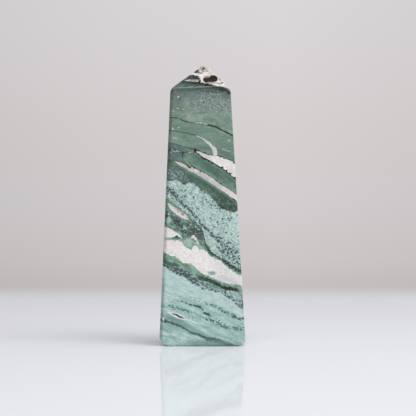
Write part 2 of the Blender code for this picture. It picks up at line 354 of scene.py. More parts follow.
LENS_GREYS = [(-7.1, 47.4, 0.75, 0.36, 30), (-6.7, 48.2, 0.7, 0.3, 38), (-8.8, 48.2, 0.45, 0.3, 30)]
WEDGE_END = [(4.5, 69.0, 0.6, 0.9, 0)]
RIGHT_PATCH = [(14.0, 14.2, 1.3, 0.7, 35)]
CRACK_Q_END = [(-14.0, 9.75, 0.36, 0.60, 0)]
# Marks on the white patch, as (colour, strength, mark)
PATCH_NOTCHES = [
    ("#97b5a8", 0.9, (-13.4, 38.8, 2.6, 0.2, 0)),
    ("#486f5e", 0.9, (-9.5, 38.9, 1.60, 0.45, 0)),
    ("#1f302a", 1.0, (-9.3, 39.5, 0.50, 0.32, 0)),
]
CRESCENT = [
    (-3.3, 39.4, 0.62, 0.46, 25), (-2.6, 38.6, 0.85, 0.46, 52), (-4.0, 38.9, 0.60, 0.20, -30),
    (-1.7, 37.3, 0.80, 0.18, 60),
]
FOOT_WISPS = [
    (-13.6, 4.4, 1.8, 0.28, 5), (-10.0, 4.2, 1.6, 0.35, 12), (-7.4, 2.9, 1.6, 0.30, 24),
    (-4.6, 1.3, 1.4, 0.22, 10), (-1.2, 0.9, 1.2, 0.2, 0), (-3.6, 9.0, 2.2, 0.24, 20),
    (12.2, 4.4, 0.9, 0.4, 10),
]

# Spots of colour, as (colour, strength, place along the face, height, reach along, into and up the
# stone, dip, softness of the edge)
PALE_BED_SPOTS = [
    ("#859f9c", 0.6, -10.2, 53.6, (3.4, 30, 2.3), 42, 0.6),
    ("#bbd6cf", 0.6, 12, 43.5, (3.2, 30, 5.5), 15, 0.5),
    ("#afc8c4", 0.6, 3, 46.5, (3, 30, 3), 0, 0.5),
]
DARK_GREEN_SPOTS = [
    ("#62866d", 0.6, 0.4, 57, (4.6, 30, 1.3), 34, 0.5),
    ("#32503d", 0.75, 9.6, 51.4, (5.4, 30, 2.9), 32, 0.5),
]
BLUISH_SPOTS = [
    ("#3b5351", 0.65, -3.8, 60.4, (3.6, 8, 1), 31, 0.5),
    ("#3b5351", 0.65, 2.2, 57.5, (3.4, 8, 1), 31, 0.5),
]
HOLLOW_SPOT = [("#52686a", 0.75, -10.3, 69.3, (3.3, 8, 2.1), 10, 0.5)]
TOP_SPOT = [("#93a08c", 0.5, -4.2, 82.2, (2.4, 4, 1.5), 25, 0.6)]
# Painted shade under the shoulders, darkest just below the cap's edge at the right
SHOULDER_SHADE_SPOTS = [
    ("#33453f", 0.3, -10.2, 87.5, (3.4, 8, 5), 0, 0.6),
    ("#2a3b36", 0.36, 9.2, 91.2, (2.4, 6, 2.6), 10, 0.6),
    ("#3a4c46", 0.6, 4.9, 92.1, (3.2, 6, 0.9), 5, 0.5),
    ("#0e1815", 0.97, 8, 93, (5.8, 6, 1.2), 16, 0.5),
    ("#0b1412", 0.97, 9.1, 92.3, (1.9, 6, 0.85), 36, 0.5),
]
LOWER_GREEN_SPOT = [("#588068", 0.75, -6.9, 39.2, (1.4, 8, 0.7), 20, 0.5)]
WHITE_BAND_SPOTS = [
    ("#c8c9cf", 0.8, 9.3, 23.9, (4, 30, 0.9), 16, 0.6),
    ("#84a49c", 0.95, 3.4, 26.3, (1.5, 3, 0.62), 8, 0.3),
]
RIM_SPOT = [("#86a898", 0.85, 14.1, 20.2, (1, 8, 1.5), 0, 0.4)]
GRAIN_SPOTS = [
    ("#76938f", 0.45, 3.4, 21.4, (4.2, 8, 1), 20, 0.5),
    ("#a3beb8", 0.72, 12.4, 18, (2.2, 8, 1.3), 26, 0.5),
    ("#88aaa4", 0.6, -5, 16.4, (3.6, 30, 0.8), 20, 0.6),
]
FOOT_SPOTS = [
    ("#648a83", 0.75, -9.8, 9.3, (4.6, 30, 1), 24, 0.6),
    ("#6f968f", 0.6, -3, 5.8, (4, 30, 1), 24, 0.6),
    ("#7fa39b", 0.7, -12.6, 6.6, (3, 8, 1.2), 10, 0.6),
]
FOOT_CORNER_SPOT = [("#82a49d", 0.4, 12.2, 4.4, (4.2, 30, 2.2), 22, 0.5)]
# Painted shade along the foot's edge, where the stone stands on the table
FOOT_EDGE_SHADE = [("#6b8f89", 0.8, 2, 1.2, (8, 30, 2.2), 0, 0.5)]
# Clouds of grains in the pale bed, with how crowded they are in place of the colour and strength,
# and the hazy and the speckled part of the green beds, without either
GRAIN_CLOUDS = [
    (0.82, 9.8, 33.6, (5.6, 30, 3.6), 44, 0.6),
    (0.55, 4.6, 49.8, (3, 30, 1.1), 38, 0.5),
    (1, -11, 55, (2.9, 30, 1.4), 38, 0.5),
]
HAZY_END = (-9.9, 61.9, (4.2, 8.0, 1.9), 20.0, 0.45)
SPECKLED = (5.2, 88.2, (7.0, 8.0, 4.6), 10.0, 0.5)
# Streaks in the foot, as (vein, colour, how far they are torn, strength)
TORN_STREAKS = [
    (STREAK_J, "#2f4545", 1.1, 0.92),
    (STREAK_K, "#2c3d41", 1.1, 0.95),
    (STREAK_L, "#3e5656", 4.5, 0.9),
    (STREAK_M, "#405a58", 4.5, 0.85),
    (STREAK_N, "#557a73", 3.2, 0.9),
]

# Marks on the cap, as (place to the side, height, half length, half thickness, dip)
CAP_BROWNS = [
    (1.2, 96.6, 1.30, 0.60, -20), (-0.7, 95.85, 0.90, 0.40, -20), (-6.9, 96.2, 1.10, 0.26, -30),
    (3.95, 96.8, 1.65, 1.32, 5), (2.0, 96.05, 1.60, 0.78, -18), (3.1, 95.85, 2.20, 0.52, 0),
]
CAP_BLACKS = [
    (-3.2, 97.2, 2.40, 0.90, 0), (-4.9, 97.3, 1.50, 0.66, -38), (-1.7, 97.0, 0.90, 0.62, 32),
    (-3.9, 97.9, 1.20, 0.34, -8),
]
CAP_VEILS = [(-2.6, 96.1, 2.60, 0.42, 2), (3.2, 95.0, 2.20, 0.30, 0)]
CAP_TEALS = [(7.2, 95.1, 0.50, 0.30, 0), (5.9, 94.7, 1.00, 0.20, 5), (6.3, 96.2, 0.35, 0.25, 0)]
CAP_WHITES = [
    (-2.9, 98.75, 1.30, 0.26, 0), (-0.7, 98.0, 0.40, 0.90, 30), (-0.2, 96.2, 0.30, 0.90, 10),
]
CAP_TANS = [(1.5, 97.4, 1.10, 0.40, -10), (-4.9, 95.7, 1.40, 0.20, 8), (-3.3, 95.4, 0.50, 0.30, 0)]
TIP_DARKS = [(-2.15, 99.6, 1.05, 0.55, -42), (-1.2, 99.1, 0.75, 0.30, 12), (0.35, 100.8, 0.70, 0.52, 0)]
TIP_GREYS = [
    (0.1, 99.9, 0.85, 0.32, 30), (1.7, 99.8, 0.60, 0.18, 0), (-0.8, 100.9, 0.30, 0.25, 0),
    (0.6, 101.8, 0.35, 0.22, 0), (-0.2, 98.9, 0.30, 0.40, 20),
]
# Painted shade at the right end of the ridge
RIDGE_END_SHADE = [(8.2, 92.95, 2.1, 0.5, 21)]
# More of the cap's marks, as (colour, strength, softness of the edge, marks)
CAP_MARKS = [
    ("#94806f", 0.8, 0.4, CAP_TANS),
    ("#566a5e", 0.9, 0.4, [(-6.3, 96.5, 1.1, 0.36, -36)]),
    ("#41605f", 0.95, 0.3, CAP_TEALS),
    ("#edebe8", 0.95, 0.3, CAP_WHITES),
]

# Polish: size of its patches in mm and its roughness, and the size in mm and depth in metres of its
# orange peel
GLOSS_SIZE = 5.0
GLOSS = (0.15, 0.25)
PEEL_SIZE = 1.6
PEEL_DEPTH = 4e-6
# Form: joints closer than this and bends flatter than this angle in degrees go, the faces are cut
# into strips of this width in metres, and the grinding left waves of this size and depth in mm
JOINED = 1e-6
FLAT_ANGLE = 0.4
SLICE = 0.001
WAVE_SIZE = 9.0
WAVE_DEPTH = 0.02
# Chips of use in mm, as (middle, reach, depth), and the size of the bends in their edges
CHIP_BEND = 0.8
CHIPS = [
    ((0.9, -1.2, 101.5), 1.5, 0.30), ((-1.3, -0.8, 100.9), 1.2, 0.22),
    ((0.2, 1.3, 101.4), 1.4, 0.28), ((2.2, -0.6, 100.2), 1.1, 0.20),
    ((-3.4, -3.2, 98.4), 1.0, 0.16), ((4.4, -3.6, 97.6), 0.9, 0.14),
    ((-15.0, -15.2, 10.2), 1.1, 0.26), ((-14.6, -14.6, 22.4), 0.9, 0.16),
    ((13.6, -13.4, 41.0), 0.9, 0.18), ((15.2, -15.2, 6.4), 1.0, 0.20),
    ((11.2, -11.0, 88.2), 1.0, 0.16), ((-12.0, 11.9, 71.0), 1.1, 0.20),
    ((13.2, 13.0, 47.5), 1.2, 0.24), ((15.2, 15.0, 3.4), 1.4, 0.30),
    ((-15.0, 14.6, 4.2), 1.3, 0.24), ((11.6, 11.2, 83.5), 0.9, 0.16),
]

# Stage in metres: half size of the table and where its edge starts to blur into the wall
TABLE_HALF = 0.50
BLUR_FROM = 0.300
BLUR_TO = 0.482
TABLE_COLOUR = "#ebeff4"
TABLE_GLOSS = 0.25
TABLE_ROUGHNESS = 0.05
# Wall: upward share of the view direction where its tones start and end, these tones, its light
# from left to right, and the dimmer part straight overhead
WALL_BOTTOM = -0.07
WALL_TOP = 0.13
WALL_TONES = [
    (0.0, "#c2bcbc"), (0.14, "#c7c1c1"), (0.2, "#cdc7c7"), (0.37, "#d2cecf"), (0.52, "#d5cfcf"),
    (0.80, "#d9d5d6"), (1.0, "#dbd8d9"),
]
WALL_LIGHT = [
    (0.0, 0.42), (0.30, 0.66), (0.43, 0.89), (0.472, 0.96), (0.52, 1.0), (0.56, 0.945),
    (0.70, 1.0), (1.0, 1.15),
]
OVERHEAD = (0.86, 0.96)
OVERHEAD_TONE = "#5e5c5c"
# Lamps, as (name, place, what it aims at, width in metres, power in watts)
LAMPS = [
    ("window", (0.55, -0.45, 0.65), (0.0, 0.0, 0.03), 0.80, 3.6),
    ("ceiling", (0.05, -0.32, 0.78), (0.0, 0.0, 0.0), 0.50, 1.85),
]


def linear(code):
    """Linear colour, as the shader takes it, from an sRGB hex value."""
    shares = [int(code[i:i + 2], 16) / 255 for i in (1, 3, 5)]
    bent = [s / 12.92 if s <= 0.04045 else ((s + 0.055) / 1.055) ** 2.4 for s in shares]
    return (*bent, 1.0)


def add(tree, kind, *feeds, **settings):
    """Add one node: its settings, then a value or a link for its open sockets in order."""
    made = tree.nodes.new(kind)
    for name, value in {**USUAL.get(kind, {}), **settings}.items():
        setattr(made, name, value)
    for socket, feed in zip([s for s in made.inputs if s.enabled], feeds):
        if isinstance(feed, bpy.types.NodeSocket):
            tree.links.new(feed, socket)
        elif feed is not None:
            socket.default_value = feed
    return next(output for output in made.outputs if output.enabled)


def new_material(name):
    material = bpy.data.materials.new(name)
    material.use_nodes = True
    material.node_tree.nodes.clear()
    return material


def traced(stone, points, span, share=None):
    """Value that follows the measured points of a line along the face."""
    follow = add(stone.tree, CURVE, 1.0, share or stone.share)
    mapping = follow.node.mapping
    line = mapping.curves[0]
    for number, (place, value, *_) in enumerate(points):
        spot = ((place - ALONG[0]) / (ALONG[1] - ALONG[0]), (value - span[0]) / (span[1] - span[0]))
        if number < len(line.points):
            line.points[number].location = spot
        else:
            line.points.new(*spot)
    for point in line.points:
        point.handle_type = "AUTO_CLAMPED"
    mapping.update()
    return add(stone.tree, MATH, follow, span[1] - span[0], span[0], **TIMES_PLUS)


def above(stone, edge, height, share=None):
    """Height in mm over an edge between two beds, negative below it."""
    return add(stone.tree, MATH, height, traced(stone, edge, UP, share), **MINUS)


def clumps(stone, size, drawn_out=1.0, dip=0.0, detail=2.0, shift=0.0, rough=0.5):
    """Uneven spread of a mineral in clumps of that size in mm, drawn out along the bedding."""
    long = size * drawn_out
    spread = add(stone.tree, MAPPING, stone.place, (shift, shift, shift), (0.0, radians(dip), 0.0),
                 (long, long, size), vector_type="TEXTURE")
    return add(stone.tree, NOISE, spread, 1.0, detail, rough)


def bed(stone, dark, middle, light, size, drawn_out=1.0, dip=0.0, shift=0.0):
    """Colour of a bed: a middle tone that drifts to a darker and a lighter one."""
    spread = clumps(stone, size, drawn_out, dip, 4, shift, 0.62)
    low = add(stone.tree, RANGE, spread, 0.51, 0.37)
    high = add(stone.tree, RANGE, spread, 0.49, 0.63)
    shade = add(stone.tree, MIX, low, linear(middle), linear(dark))
    return add(stone.tree, MIX, high, shade, linear(light))


def lay(stone, colour, *masks):
    """Lay a colour over the stone, as strongly as its masks say when they are multiplied.

    A mask is a share from 0 to 1, or a tuple: a value, where on it the share is 0 and where it is
    1, and, if given, two other shares for these two places.
    """
    masks = [add(stone.tree, RANGE, *mask) if isinstance(mask, tuple) else mask for mask in masks]
    share = masks[0]
    for mask in masks[1:]:
        if mask != 1.0:
            share = add(stone.tree, MATH, share, mask)
    colour = linear(colour) if isinstance(colour, str) else colour
    stone.colour = add(stone.tree, MIX, share, stone.colour, colour)


def mottle(stone, size, drawn_out, dip, strength, shift):
    """Finer light and dark in all that is laid so far, by up to that share of its brightness."""
    spread = clumps(stone, size, drawn_out, dip, 2, shift)
    shade = add(stone.tree, RANGE, spread, 0.3, 0.7, 1.0 - strength, 1.0 + strength, **LEVEL)
    stone.colour = add(stone.tree, "ShaderNodeHueSaturation", 0.5, 1.0, shade, 1.0, stone.colour)


def lay_above(stone, edge, colour):
    """Lay a bed on everything over a smooth edge, and hand back the height over it."""
    rise = above(stone, edge, stone.height)
    lay(stone, colour, (rise, -EDGE_SOFT, EDGE_SOFT))
    return rise


def lay_below(stone, edge, colour):
    """Lay a bed on everything under a rough edge, and hand back the height over it."""
    rise = above(stone, edge, stone.rough_height)
    lay(stone, colour, (rise, EDGE_SOFT, -EDGE_SOFT))
    return rise


def follow_vein(stone, vein, ragged=0.25):
    """Depth in mm inside a vein of uneven thickness, negative outside it."""
    stone.over_vein = above(stone, vein, stone.height)
    half = traced(stone, [(place, thick) for place, _, thick in vein], ACROSS)
    stone.half_vein = add(stone.tree, MATH, stone.jitter, ragged, half, **TIMES_PLUS)
    return vein_depth(stone)


def vein_depth(stone, drop=0.0):
    """Depth inside the vein that was followed last, or inside one that sits so much lower."""
    lowered = add(stone.tree, MATH, stone.over_vein, drop, **PLUS)
    off = add(stone.tree, MATH, lowered, **UNSIGNED)
    return add(stone.tree, MATH, stone.half_vein, off, **MINUS)


def lay_round(stone, depth, reach, colour, soft=0.12, strength=1.0):
    """Lay a colour on a vein and as far round it as reach says, in mm."""
    lay(stone, colour, (depth, -reach - soft, soft - reach), strength)


def lay_vein(stone, vein, colour, soft=0.12, ragged=0.25, strength=1.0):
    """Lay a vein of uneven thickness, which breaks up where it is very ragged."""
    lay_round(stone, follow_vein(stone, vein, ragged), 0.0, colour, soft, strength)


def lay_torn(stone, vein, colour, torn, gaps, strength):
    """Lay a dark streak that is torn into dashes and crumbs, with a faint shade round it."""
    depth = follow_vein(stone, vein, 0.5)
    depth = add(stone.tree, MATH, depth, -0.5 * torn, **PLUS)
    depth = add(stone.tree, MATH, gaps, torn, depth, **TIMES_PLUS)
    lay_round(stone, depth, 0.35, "#86a9a3", 0.4, 0.4)
    lay_round(stone, depth, 0.0, colour, 0.12, strength)


def nearness(stone, place, middle, reach, dip, soft):
    """1 in the middle of a round or long spot, 0 just past its reach in mm."""
    wide = [share * (1.0 + soft) for share in reach]
    off = add(stone.tree, MAPPING, place, middle, (0.0, radians(dip), 0.0), wide,
              vector_type="TEXTURE")
    return add(stone.tree, "ShaderNodeTexGradient", off, gradient_type="SPHERICAL").node.outputs["Fac"]


def filled(stone, near, soft):
    """Mask that is 1 over nearly the whole of a spot and fades at its edge."""
    return add(stone.tree, RANGE, near, 0.0, 2.0 * soft / (1.0 + soft))


def spot(stone, along, height, reach, dip, soft):
    """Mask of a round or long spot: its middle, and its reach along, into and up the stone in mm."""
    near = nearness(stone, stone.rough_place, (along, 0.0, height), reach, dip, soft)
    return filled(stone, near, soft)


def lay_spots(stone, group, *masks):
    """Lay spots of colour one after the other, only where the masks are 1."""
    for colour, strength, *form in group:
        lay(stone, colour, spot(stone, *form), *masks, strength)


def marks(stone, group, depth=1.8, soft=0.25, place=None, middle=0.0):
    """Mask of small marks: place along the face, height, half length, half thickness and dip."""
    nearest = 0.0
    for along, height, long, thick, dip in group:
        near = nearness(stone, place or stone.crumbled, (along, middle, height),
                        (long, depth, thick), dip, soft)
        nearest = add(stone.tree, MATH, near, nearest, **MOST)
    return filled(stone, nearest, soft)


def grains(stone, density, spread, least, most, crisp):
    """Mask of single grains: few where the density is near 0, half of the stone where it is 1."""
    level = add(stone.tree, RANGE, density, 0.0, 1.0, least, most, **LEVEL)
    over = add(stone.tree, MATH, spread, level, **MINUS)
    return add(stone.tree, RANGE, over, -crisp, crisp)


def numbers(stone, place):
    """The three numbers of a place, as the red, green and blue of a colour."""
    return add(stone.tree, "ShaderNodeSeparateColor", place).node.outputs


def crumbs(stone, size, detail):
    """Small uneven steps in all directions, between -0.5 and 0.5."""
    colours = add(stone.tree, NOISE, stone.metric, 1.0 / size, detail).node.outputs["Color"]
    return add(stone.tree, VECTOR, colours, (0.5, 0.5, 0.5), **MINUS)


def loosen(stone, place, steps, amount):
    """Places shifted by small steps, so that edges drawn through them turn ragged."""
    return add(stone.tree, VECTOR, steps, (amount, amount, amount), place, **TIMES_PLUS)


def bedded_place(stone, wave):
    """Place in mm along the beds, into the stone and up, which drifts, sinks and bends inwards."""
    tree = stone.tree
    apart = add(tree, "ShaderNodeSeparateXYZ", stone.metric).node.outputs
    sunk = add(tree, MATH, apart["Z"], -tan(radians(FRONT_LEAN)), apart["Y"], **TIMES_PLUS)
    deep = add(tree, MATH, add(tree, MATH, sunk, FRONT_FOOT, **PLUS), 0.0, **MOST)
    past = add(tree, MATH, deep, BEND_FROM, **MINUS)
    bent = add(tree, MATH, add(tree, MATH, past, 0.0, **MOST), BEND)
    sway = add(tree, VECTOR, wave, bent, operation="SCALE")
    along = add(tree, MATH, deep, DRIFT, apart["X"], **TIMES_PLUS)
    up = add(tree, MATH, deep, SINK, apart["Z"], **TIMES_PLUS)
    straight = add(tree, "ShaderNodeCombineXYZ", along, deep, up)
    return add(tree, VECTOR, straight, sway, **PLUS)


def find_places(stone):
    """Places in the stone in mm: as it stands, and along its beds, smooth and roughened."""
    tree = stone.tree
    here = add(tree, "ShaderNodeTexCoord").node.outputs["Object"]
    stone.metric = add(tree, MAPPING, here, (0.0, 0.0, 0.0), (0.0, 0.0, 0.0), (MM, MM, MM))
    wave = crumbs(stone, BEND_SIZE, 1.0)
    rough = crumbs(stone, ROUGH_SIZE, 3.0)
    fine = crumbs(stone, CRUMB_SIZE, 2.0)
    stone.place = bedded_place(stone, wave)
    stone.rough_place = loosen(stone, stone.place, rough, ROUGH)
    stone.crumbled = loosen(stone, stone.place, fine, CRUMB)
    stone.cap_place = loosen(stone, stone.metric, fine, CAP_CRUMB)
    stone.along, stone.deep, stone.height = numbers(stone, stone.place)
    stone.rough_height = numbers(stone, stone.rough_place)["Blue"]
    stone.jitter = numbers(stone, rough)["Red"]
    straight = numbers(stone, stone.metric)
    stone.side = straight["Red"]
    stone.tall = straight["Blue"]
    open_share = add(tree, RANGE, stone.along, *ALONG, **LEVEL)
    started = add(tree, MATH, open_share, 0.0, **MOST)
    stone.share = add(tree, MATH, started, 1.0, operation="MINIMUM")


def pale_bed(stone):
    """Pale aqua chalcedony, finely streaked."""
    stone.colour = bed(stone, "#90aaa6", "#abc4bf", "#bed6d1", 1, 1.6, 38)
    lay_spots(stone, PALE_BED_SPOTS)
    mottle(stone, 0.42, 2.4, 42, 0.2, 3)


def pale_bed_grains(stone):
    """Dark grains in the pale bed, which gather along a slanting line and in three clouds."""
    tree = stone.tree
    line = add(tree, MATH, above(stone, GRAIN_LINE, stone.height), **UNSIGNED)
    near = add(tree, RANGE, line, 1.9, 0.4, 0.0, 0.92)
    cloud = clumps(stone, 2.6, 1.5, 38, 2, 7)
    many = add(tree, RANGE, cloud, 0.42, 0.66, 0.10, 0.52)
    density = add(tree, MATH, near, many, **MOST)
    for crowd, *form in GRAIN_CLOUDS:
        gathered = add(tree, MATH, spot(stone, *form), crowd)
        density = add(tree, MATH, density, gathered, **MOST)
    veiled = clumps(stone, 0.9, 1.6, 38, 2, 13)
    lay(stone, "#7f9a97", grains(stone, density, veiled, 0.72, 0.45, 0.07), 0.6)
    spread = clumps(stone, 0.50, 1.5, 38, 1, 3)
    lay(stone, "#3a5250", grains(stone, density, spread, 0.73, 0.49, 0.03))
    lay(stone, "#c5d9d5", marks(stone, PALE_BED_FLECKS), 0.7)
    lay(stone, "#2f4446", marks(stone, PALE_BED_GRAINS), 0.9)


def dark_green_bed(stone):
    """Dark green jasper over the pale bed, gritty, with blue-green patches and a hazy left end."""
    tree = stone.tree
    rise = above(stone, PALE_TOP, stone.rough_height)
    dark = bed(stone, "#3b5249", "#4d665a", "#62806e", 1.3, 2.6, 33, 11)
    lay(stone, dark, (rise, -0.25, 0.25))
    blue = clumps(stone, 1.8, 2, 33, 2, 12)
    over = add(tree, RANGE, rise, 0.0, 0.5)
    lay(stone, "#3c5050", over, (blue, 0.5, 0.62), 0.8)
    lay(stone, "#344a47", (rise, 1.2, 0.4), over, 0.5)
    lay_spots(stone, DARK_GREEN_SPOTS, over)
    fine = clumps(stone, 0.42, 1.6, 40, 1, 5)
    lay(stone, "#2b3e39", over, (fine, 0.46, 0.38), 0.6)
    lay(stone, "#71907f", over, (fine, 0.56, 0.64), 0.5)
    lay(stone, "#1f312a", marks(stone, GREEN_END_DARKS, 5.0, 0.6), 0.85)
    lay_spots(stone, BLUISH_SPOTS, over)
    hazy = spot(stone, *HAZY_END)
    lay(stone, "#4f6565", hazy, over, 0.75)
    flecks = clumps(stone, 0.45, 1.8, 50, 1, 25)
    lay(stone, "#9db1b1", hazy, (flecks, 0.5, 0.57), 0.7)


def middle_green_beds(stone):
    """Two green beds over the slanting vein, the lower one with a grey hollow at the left."""
    low = bed(stone, "#486359", "#57766b", "#69897b", 1.7, 3, 34, 19)
    lay_above(stone, VEIN_F, low)
    lay_spots(stone, HOLLOW_SPOT)
    mid = bed(stone, "#5a7768", "#688575", "#748f81", 2.2, 3, 14, 23)
    lay_above(stone, MIDDLE_BOTTOM, mid)


def upper_green_bed(stone):
    """Light green bed under the cap, greyer and speckled towards the top and dark at its edge, with painted
    shade under the shoulders.
    """
    tree = stone.tree
    high = bed(stone, "#687f6f", "#779180", "#84a08c", 1.8, 2, 14, 29)
    rise = lay_above(stone, CRACK_A, high)
    grey = bed(stone, "#6b7d76", "#788d86", "#87988f", 1.5, 1.5, 14, 31)
    lay(stone, grey, (rise, 2.0, 7.5))
    patchy = clumps(stone, 1.1, 2.4, 8, 2, 95)
    top = add(tree, RANGE, rise, 0.5, 2.5)
    lay(stone, "#7b8e92", top, (patchy, 0.51, 0.60), 0.5)
    lay(stone, "#688a70", top, (patchy, 0.47, 0.38), 0.55)
    lay_spots(stone, TOP_SPOT)
    lay(stone, "#596c66", (stone.rough_height, 87.2, 91.0), 0.6)
    lay(stone, "#3a544a", (stone.rough_height, 90.8, 92.4), 0.8)
    speckled = spot(stone, *SPECKLED)
    fine = clumps(stone, 0.38, 1.7, -52, 1, 9)
    lay(stone, "#a6b1ae", speckled, (fine, 0.53, 0.61), 0.6)
    lay(stone, "#50605a", speckled, (fine, 0.46, 0.38), 0.7)
    mottle(stone, 0.40, 1.5, 20, 0.16, 17)
    # Painted shade under the shoulders
    lay_spots(stone, SHOULDER_SHADE_SPOTS)


def upper_cracks(stone):
    """Flecks and dark cracks in the upper green beds, and a thin lilac vein between them."""
    lay(stone, "#a8b9ae", marks(stone, TOP_FLECKS, 2.5), 0.75)
    lay(stone, "#a9a797", marks(stone, TOP_SANDY, 1.8, 0.6), 0.5)
    lay(stone, "#8c7167", marks(stone, RUSTY_MARKS, 3.0), 0.75)
    lay(stone, "#d3c4b8", marks(stone, SAND_MARKS, 3.0), 0.9)
    lay_vein(stone, CRACK_A, "#1f2422", ragged=0.5)
    lay_vein(stone, CRACK_A_PALE, "#b7b4ae", ragged=1.4)
    lay_vein(stone, CRACK_B, "#3f4d47", ragged=0.9, strength=0.8)
    lilac = bed(stone, "#b2b5b6", "#c3c6c6", "#d3d4d2", 1.6, 1, 0, 61)
    depth = follow_vein(stone, VEIN_B, 0.4)
    lay_round(stone, depth, 0.16, "#5a6e62", 0.4, 0.5)
    lay_round(stone, depth, 0.0, lilac)
    lay_vein(stone, CRACK_C, "#3f4743", ragged=0.7)
    lay_vein(stone, CRACK_D, "#3a403d", ragged=1.0)


def white_wedge(stone):
    """Wedge of white chalcedony, greyer at its thin end and beaded with black along its edges."""
    tree = stone.tree
    white = bed(stone, "#d5d5d4", "#dfdedb", "#e8e6e2", 2.6, 2.5, 24, 63)
    depth = follow_vein(stone, WEDGE, 0.2)
    lay_round(stone, vein_depth(stone, 0.5), 0.75, "#5f8d72", 0.4, 0.5)
    lay_round(stone, depth, 0.10, "#4a4644", 0.12, 0.75)
    beaded = add(tree, MATH, stone.jitter, 1.1, vein_depth(stone, 0.26), **TIMES_PLUS)
    lay_round(stone, beaded, 0.16, "#191c1b")
    upper = add(tree, MATH, stone.jitter, 1.5, vein_depth(stone, -0.22), **TIMES_PLUS)
    lay_round(stone, upper, 0.06, "#2e312f", 0.12, 0.85)
    lay_round(stone, depth, 0.0, white)
    lay(stone, "#c6c5c5", (depth, -0.1, 0.12), (stone.along, 4.6, 1.5), 0.75)
    lay(stone, "#d2d2d1", marks(stone, WEDGE_END, 4.0), 0.9)
    lay(stone, "#171a1a", marks(stone, WEDGE_BEADS + WEDGE_TOP_BEADS))


def slanting_vein(stone):
    """Vein of cool white chalcedony between a thin brown and a green rim, whiter to the right."""
    lay_vein(stone, CRACK_F, "#6f4a45")
    cool = bed(stone, "#aeacae", "#c2c0c1", "#d3d0d0", 1.4, 2.6, 36, 65)
    depth = follow_vein(stone, VEIN_F, 0.5)
    lay(stone, "#74a083", (vein_depth(stone, -0.25), -1.1, -0.4), (stone.along, -7.5, -5.0), 0.75)
    lay_round(stone, vein_depth(stone, 0.4), 0.5, "#5a8a6c", 0.35, 0.6)
    lay_round(stone, vein_depth(stone, -0.12), 0.22, "#56423f")
    lay_round(stone, depth, 0.0, cool)
    lay(stone, "#e2dfdc", (stone.along, 3.0, 11.0), (depth, -0.1, 0.12), 0.75)
    lay(stone, "#1e2725", marks(stone, VEIN_F_NOTCHES))
    lay_vein(stone, SLIVER_F, "#7ba58a")
    lay(stone, "#bcc0c4", marks(stone, HOLLOW_WHITES), 0.75)
    lay(stone, "#24302e", marks(stone, HOLLOW_BLACKS), 0.9)


def lower_green(stone):
    """Green and near-black zone between the pale bed and the white band."""
    tree = stone.tree
    mixed = bed(stone, "#48605a", "#638276", "#84a497", 0.9, 1.5, 38, 37)
    rise = lay_below(stone, PALE_BOTTOM, mixed)
    under = add(tree, RANGE, rise, 0.1, -0.3)
    right = add(tree, RANGE, stone.along, -0.6, 1.6)
    deep_green = bed(stone, "#284f3d", "#44705a", "#6c9582", 0.8, 1.8, 36, 39)
    lay(stone, deep_green, under, right)
    lay(stone, "#15301f", (rise, -2.0, -1.1), under, right, 0.92)
    lay(stone, "#2b3a38", marks(stone, DARK_BLOTCHES, 4.0, 0.5, stone.rough_place), under, 0.9)
    fine = clumps(stone, 0.40, 1.4, 38, 1, 85)
    lay(stone, "#8fa9a0", under, (fine, 0.58, 0.65), 0.6)
    lay(stone, "#283734", under, (fine, 0.43, 0.36), 0.6)
    lay(stone, "#a3beb4", marks(stone, LOBE, 4.0, 0.4, stone.rough_place), 0.9)
    lay_spots(stone, LOWER_GREEN_SPOT)
    lay(stone, "#abc4ba", marks(stone, LOWER_GREEN_FLECKS), 0.85)


def rosy_lens(stone):
    """Lens of rosy white chalcedony, whiter in its lower half, with a brown rim and green halo."""
    rosy = bed(stone, "#aaa1a1", "#c7bfbd", "#dad5d3", 0.9, 2, 38, 67)
    depth = follow_vein(stone, LENS_G, 1.0)
    lay_round(stone, depth, 0.8, "#62907b", 0.5, 0.75)
    lay_round(stone, depth, 0.1, "#8c7a76", 0.12, 0.6)
    lay_round(stone, depth, 0.0, rosy)
    lay(stone, "#dedad7", (vein_depth(stone, 0.55), 0.15, 0.45), (depth, 0.0, 0.15), 0.8)
    lay(stone, "#807475", marks(stone, LENS_GREYS, 2.0, 0.4), 0.75)


def white_band(stone):
    """Band of white chalcedony with a green fringe over it and a white patch in the green."""
    tree = stone.tree
    white = bed(stone, "#dfdbda", "#e6e2e0", "#ece8e5", 2.4, 3, 20, 41)
    rise = above(stone, WHITE_TOP, stone.rough_height)
    from_left = add(tree, RANGE, stone.along, 2.5, 0.0)
    wide = add(tree, MATH, add(tree, RANGE, rise, 1.3, 0.4), from_left)
    narrow = add(tree, RANGE, rise, 0.75, 0.3)
    lay(stone, "#82a697", add(tree, MATH, wide, narrow, **MOST), 0.8)
    band = add(tree, RANGE, rise, 0.2, -0.2)
    lay(stone, white, band)
    lay(stone, "#d6d7d8", band, (stone.along, 2.0, 9.0), 0.7)
    lay_spots(stone, WHITE_BAND_SPOTS)
    lay_vein(stone, PATCH_H, "#e3dfdc", ragged=0.6)
    for colour, strength, mark in PATCH_NOTCHES:
        lay(stone, colour, marks(stone, [mark], 3.0), strength)
    lay(stone, "#ddd8d4", marks(stone, CRESCENT, 2.5, 0.15))


def corner_strip(stone):
    """Flat along the left corner, beige beside the white band."""
    tree = stone.tree
    corner = add(tree, MATH, stone.tall, -LEFT_LEAN, stone.side, **TIMES_PLUS)
    strip = add(tree, RANGE, corner, *LEFT_FLAT)
    stone.strip = add(tree, MATH, strip, add(tree, RANGE, stone.deep, *FLAT_DEPTH))
    lay(stone, "#cfc6b6", stone.strip, (stone.tall, 34.4, 35.4), (stone.tall, 43.5, 42.0), 0.6)


